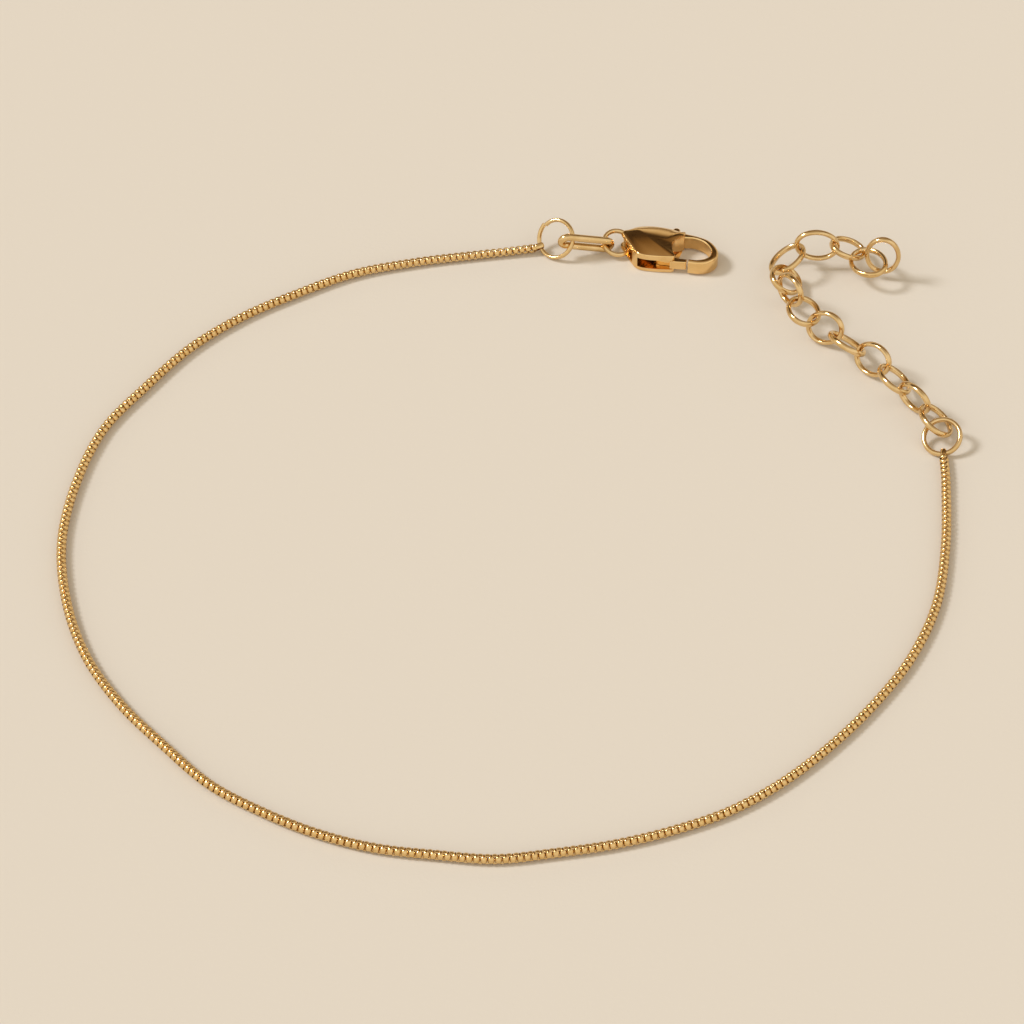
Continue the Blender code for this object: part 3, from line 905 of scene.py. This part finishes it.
def add_clasp_lever(material):
    """The lever: a gate across the hook's mouth, and an arm back to the thumb knob."""
    low = BOTTOM_PLATE + LEVER_PLAY
    gate_top = CLASP_THICKNESS - TOP_PLATE - LEVER_PLAY
    arm_top = CLASP_THICKNESS - BACK_PLATE - LEVER_PLAY
    knob_levels = [(low, KNOB_DOME), (low + KNOB_DOME, 0.0)]
    for i in range(ROUNDING_STEPS + 1):
        angle = math.pi / 2 * i / ROUNDING_STEPS
        inset = KNOB_DOME * (1 - math.cos(angle))
        knob_levels.append((arm_top - KNOB_DOME * (1 - math.sin(angle)), inset))
    arm = clasp_points(ARM_OUTLINE)
    knob = circle(clasp_points([KNOB])[0], KNOB_RADIUS)
    bore = circle(clasp_points([PIVOT])[0], PIVOT_RADIUS + PIVOT_CLEARANCE)
    tools = (
        ("UNION", plain_prism(arm, low + ARM_INSET, arm_top - ARM_INSET)),
        ("UNION", prism(knob, knob_levels)),
        ("DIFFERENCE", plain_prism(bore, 0.0, CLASP_THICKNESS)),
    )
    gate_levels = (
        (low, LEVER_BEVEL),
        (low + LEVER_BEVEL, 0.0),
        (gate_top - LEVER_BEVEL, 0.0),
        (gate_top, LEVER_BEVEL),
    )
    blank = prism(clasp_points(GATE_OUTLINE), gate_levels)
    lever = carve("clasp_trigger", blank, tools, clasp_matrix(), material)
    declare(lever, ["clasp_lever"], "lever")


# Materials


def linear(hex_colour):
    """Linear RGBA from an sRGB hex value."""
    channels = []
    for byte in bytes.fromhex(hex_colour):
        value = byte / SRGB_MOST
        if value <= SRGB_FOOT:
            channels.append(value / SRGB_FOOT_SLOPE)
        else:
            channels.append(((value + SRGB_OFFSET) / (1 + SRGB_OFFSET)) ** SRGB_POWER)
    return (*channels, 1.0)


def add_node(tree, kind, links=None, **settings):
    """A node with its settings, and links from its sockets' names to other sockets."""
    node = tree.nodes.new(kind)
    for name, value in settings.items():
        if name in node.inputs:
            node.inputs[name].default_value = value
        else:
            setattr(node, name, value)
    for name, source in (links or {}).items():
        tree.links.new(source, node.inputs[name])
    return node


def set_ramp(ramp, stops):
    """Fills a colour ramp with stops of position and hex colour."""
    stops = list(stops)
    elements = ramp.color_ramp.elements
    while len(elements) < len(stops):
        elements.new(1.0)
    for element, (position, colour) in zip(elements, stops):
        element.position = position
        element.color = linear(colour)


def gold_plate(name, tones, roughness, wave_mm, wave_height_mm, scratch_mm, scratch_height_mm):
    """14 carat gold plate over brass, tumble polished.

    The eye gets a bright warm mirror, broken by a soft ripple from the tumbling, by hairline scratches,
    and by patches where the plate is a shade redder.
    """
    material = bpy.data.materials.new(name)
    material.use_nodes = True
    tree = material.node_tree
    tree.nodes.clear()
    place = add_node(tree, "ShaderNodeTexCoord")
    ripple = add_node(
        tree,
        "ShaderNodeTexNoise",
        {"Vector": place.outputs["Object"]},
        Scale=1 / (wave_mm * MILLIMETRE),
        Detail=RIPPLE_DETAIL,
    )
    along = add_node(
        tree,
        "ShaderNodeMapping",
        {"Vector": place.outputs["Object"]},
        Scale=SCRATCH_DRAW,
        Rotation=SCRATCH_TURN,
    )
    scratches = add_node(
        tree,
        "ShaderNodeTexNoise",
        {"Vector": along.outputs["Vector"]},
        Scale=1 / (scratch_mm * MILLIMETRE),
        Detail=SCRATCH_DETAIL,
    )
    soft = add_node(
        tree,
        "ShaderNodeBump",
        {"Height": ripple.outputs["Fac"]},
        Strength=1.0,
        Distance=wave_height_mm * MILLIMETRE,
    )
    fine = add_node(
        tree,
        "ShaderNodeBump",
        {"Height": scratches.outputs["Fac"], "Normal": soft.outputs["Normal"]},
        Strength=1.0,
        Distance=scratch_height_mm * MILLIMETRE,
    )
    tone = add_node(tree, "ShaderNodeValToRGB", {"Fac": ripple.outputs["Fac"]})
    set_ramp(tone, zip(TONE_CHANGE, tones))
    sheen = add_node(tree, "ShaderNodeMapRange", {"Value": scratches.outputs["Fac"]})
    sheen.inputs["From Min"].default_value = SHEEN_CHANGE[0]
    sheen.inputs["From Max"].default_value = SHEEN_CHANGE[1]
    sheen.inputs["To Min"].default_value = roughness * SHEEN_SHARES[0]
    sheen.inputs["To Max"].default_value = roughness * SHEEN_SHARES[1]
    shader = add_node(
        tree,
        "ShaderNodeBsdfPrincipled",
        {
            "Normal": fine.outputs["Normal"],
            "Base Color": tone.outputs["Color"],
            "Roughness": sheen.outputs["Result"],
        },
        Metallic=1.0,
    )
    add_node(tree, "ShaderNodeOutputMaterial", {"Surface": shader.outputs["BSDF"]})
    return material


def matt_card(name):
    """Pale uncoated card under the anklet: matt, with a fibre grain that only just shows."""
    material = bpy.data.materials.new(name)
    material.use_nodes = True
    tree = material.node_tree
    shader = tree.nodes["Principled BSDF"]
    shader.inputs["Base Color"].default_value = linear(CARD_COLOUR)
    shader.inputs["Roughness"].default_value = CARD_ROUGHNESS
    shader.inputs["Specular IOR Level"].default_value = CARD_SPECULAR
    place = add_node(tree, "ShaderNodeTexCoord")
    grain = add_node(
        tree,
        "ShaderNodeTexNoise",
        {"Vector": place.outputs["Object"]},
        Scale=1 / (CARD_GRAIN_MM * MILLIMETRE),
        Detail=CARD_GRAIN_DETAIL,
    )
    bump = add_node(
        tree,
        "ShaderNodeBump",
        {"Height": grain.outputs["Fac"]},
        Strength=1.0,
        Distance=CARD_GRAIN_HEIGHT_MM * MILLIMETRE,
    )
    tree.links.new(bump.outputs["Normal"], shader.inputs["Normal"])
    return material


# Studio


def add_floor():
    """A plain card that reaches past the picture on every side."""
    half = FLOOR_HALF
    corners = [(-half, -half, 0), (half, -half, 0), (half, half, 0), (-half, half, 0)]
    shape = (corners, [tuple(range(len(corners)))])
    floor = link_object("floor", make_mesh("floor", shape, matt_card("pale_card")))


def add_camera():
    """A long lens from the front, looking down at the anklet."""
    data = bpy.data.cameras.new("camera")
    data.lens = CAMERA_LENS
    data.sensor_width = CAMERA_SENSOR
    data.clip_start = CAMERA_NEAR
    data.clip_end = CAMERA_FAR
    camera = link_object("camera", data)
    away = Vector((0, -math.cos(CAMERA_ELEVATION), math.sin(CAMERA_ELEVATION)))
    camera.location = Vector(CAMERA_AIM) + away * CAMERA_DISTANCE
    camera.rotation_euler = (math.pi / 2 - CAMERA_ELEVATION, 0.0, 0.0)
    bpy.context.scene.camera = camera


def add_key_light():
    """A soft light from the left and above."""
    data = bpy.data.lights.new("key", "SUN")
    data.energy = KEY_STRENGTH
    data.angle = KEY_ANGLE
    data.color = linear(KEY_COLOUR)[:3]
    light = link_object("key", data)
    light.rotation_euler = (-Vector(KEY_DIRECTION)).to_track_quat("-Z", "Y").to_euler()


def add_room():
    """A bright room round the table, darker high up on the far side, where the flat gold looks."""
    world = bpy.data.worlds.new("studio")
    bpy.context.scene.world = world
    world.use_nodes = True
    tree = world.node_tree
    tree.nodes.clear()
    place = add_node(tree, "ShaderNodeTexCoord")
    parts = add_node(tree, "ShaderNodeSeparateXYZ", {"Vector": place.outputs["Generated"]})
    far = add_node(tree, "ShaderNodeValToRGB", {"Fac": parts.outputs["Z"]})
    set_ramp(far, FAR_SIDE)
    near = add_node(tree, "ShaderNodeValToRGB", {"Fac": parts.outputs["Z"]})
    set_ramp(near, NEAR_SIDE)
    depth = add_node(
        tree,
        "ShaderNodeMapRange",
        {"Value": parts.outputs["Y"]},
        interpolation_type="SMOOTHSTEP",
    )
    depth.inputs["From Min"].default_value = 0.0
    depth.inputs["From Max"].default_value = ROOM_BLEND
    blend = add_node(tree, "ShaderNodeMix", {"Factor": depth.outputs["Result"]}, data_type="RGBA")
    tree.links.new(near.outputs["Color"], blend.inputs["A"])
    tree.links.new(far.outputs["Color"], blend.inputs["B"])
    background = add_node(
        tree,
        "ShaderNodeBackground",
        {"Color": blend.outputs["Result"]},
        Strength=ROOM_STRENGTH,
    )
    add_node(tree, "ShaderNodeOutputWorld", {"Surface": background.outputs["Background"]})


add_camera()
add_floor()
add_room()
add_key_light()
bpy.context.scene.view_settings.view_transform = "Standard"

# Drawn wire, coiled and soldered, then tumbled bright
gold_wire = gold_plate(
    "tumbled_gold_wire",
    tones=("DDBB80", "EACB96"),
    roughness=0.14,
    wave_mm=1.2,
    wave_height_mm=0.002,
    scratch_mm=0.06,
    scratch_height_mm=0.0002,
)

# Rolled strip, folded into the chain's links: a little duller from the rolls
gold_strip = gold_plate(
    "rolled_gold_strip",
    tones=("E0BC7C", "E9C88E"),
    roughness=0.18,
    wave_mm=0.5,
    wave_height_mm=0.002,
    scratch_mm=0.05,
    scratch_height_mm=0.0002,
)

# Cast and polished clasp: the smoothest and the lightest of the three
gold_casting = gold_plate(
    "polished_gold_casting",
    tones=("EAC384", "F2CE92"),
    roughness=0.14,
    wave_mm=1.8,
    wave_height_mm=0.003,
    scratch_mm=0.07,
    scratch_height_mm=0.0002,
)

extender_ring = bent_ring(EXTENDER_RING_SIZE, EXTENDER_RING_SIZE, LINK_WIRE)
clasp_ring = bent_ring(CLASP_RING_SIZE, CLASP_RING_SIZE, CLASP_RING_WIRE)
end_ring = split_ring(END_RING_SIZE, END_RING_WIRE, END_RING_JOINT_ANGLE)
connector = oval_link(CONNECTOR_LENGTH, CONNECTOR_WIDTH, CONNECTOR_WIRE)
link_shape = bent_ring(LINK_LENGTH, LINK_WIDTH, LINK_WIRE)
wires = [
    ("jump_ring_extender", extender_ring, EXTENDER_RING_PLACE, "extender_ring"),
    ("jump_ring_clasp", clasp_ring, CLASP_RING_PLACE, "clasp_ring"),
    ("jump_ring_end", end_ring, END_RING_PLACE, "end_ring"),
    ("narrow_oval_link", connector, CONNECTOR_PLACE, "connector_link"),
]
for number, link_place in enumerate(EXTENDER_LINK_PLACES, 1):
    node = f"extender_link_{number:02d}"
    wires.append(("oval_" + node, link_shape, from_extender_ring(link_place), node))
for piece_name, shape, place, node in wires:
    add_piece(piece_name, put(shape, placement(place)), gold_wire, [node])

left_link = end_link_matrix(
    *ring_point(END_RING_PLACE, END_RING_SIZE, END_RING_WIRE, LEFT_LINK_ANGLE),
    END_RING_WIRE,
    Vector((*CHAIN_ROUTE[0], CHAIN_BAR_RADIUS)),
)
right_link = end_link_matrix(
    *ring_point(EXTENDER_RING_PLACE, EXTENDER_RING_SIZE, LINK_WIRE, RIGHT_LINK_ANGLE),
    LINK_WIRE,
    Vector((*CHAIN_ROUTE[-1], CHAIN_BAR_RADIUS)),
)
end_shape = folded_link(
    END_LINK_LENGTH,
    END_LINK_WIDTH,
    END_LINK_STRIP_WIDTH,
    END_LINK_STRIP_THICKNESS,
    END_LINK_CORNER,
    END_LINK_CORNER_STEPS,
)
for side, matrix in (("left", left_link), ("right", right_link)):
    shape = put(end_shape, matrix)
    add_piece("folded_end_link_" + side, shape, gold_strip, ["chain_end_link_" + side])
add_box_chain(left_link, right_link, gold_strip)
add_clasp_body(gold_casting)
add_clasp_lever(gold_casting)
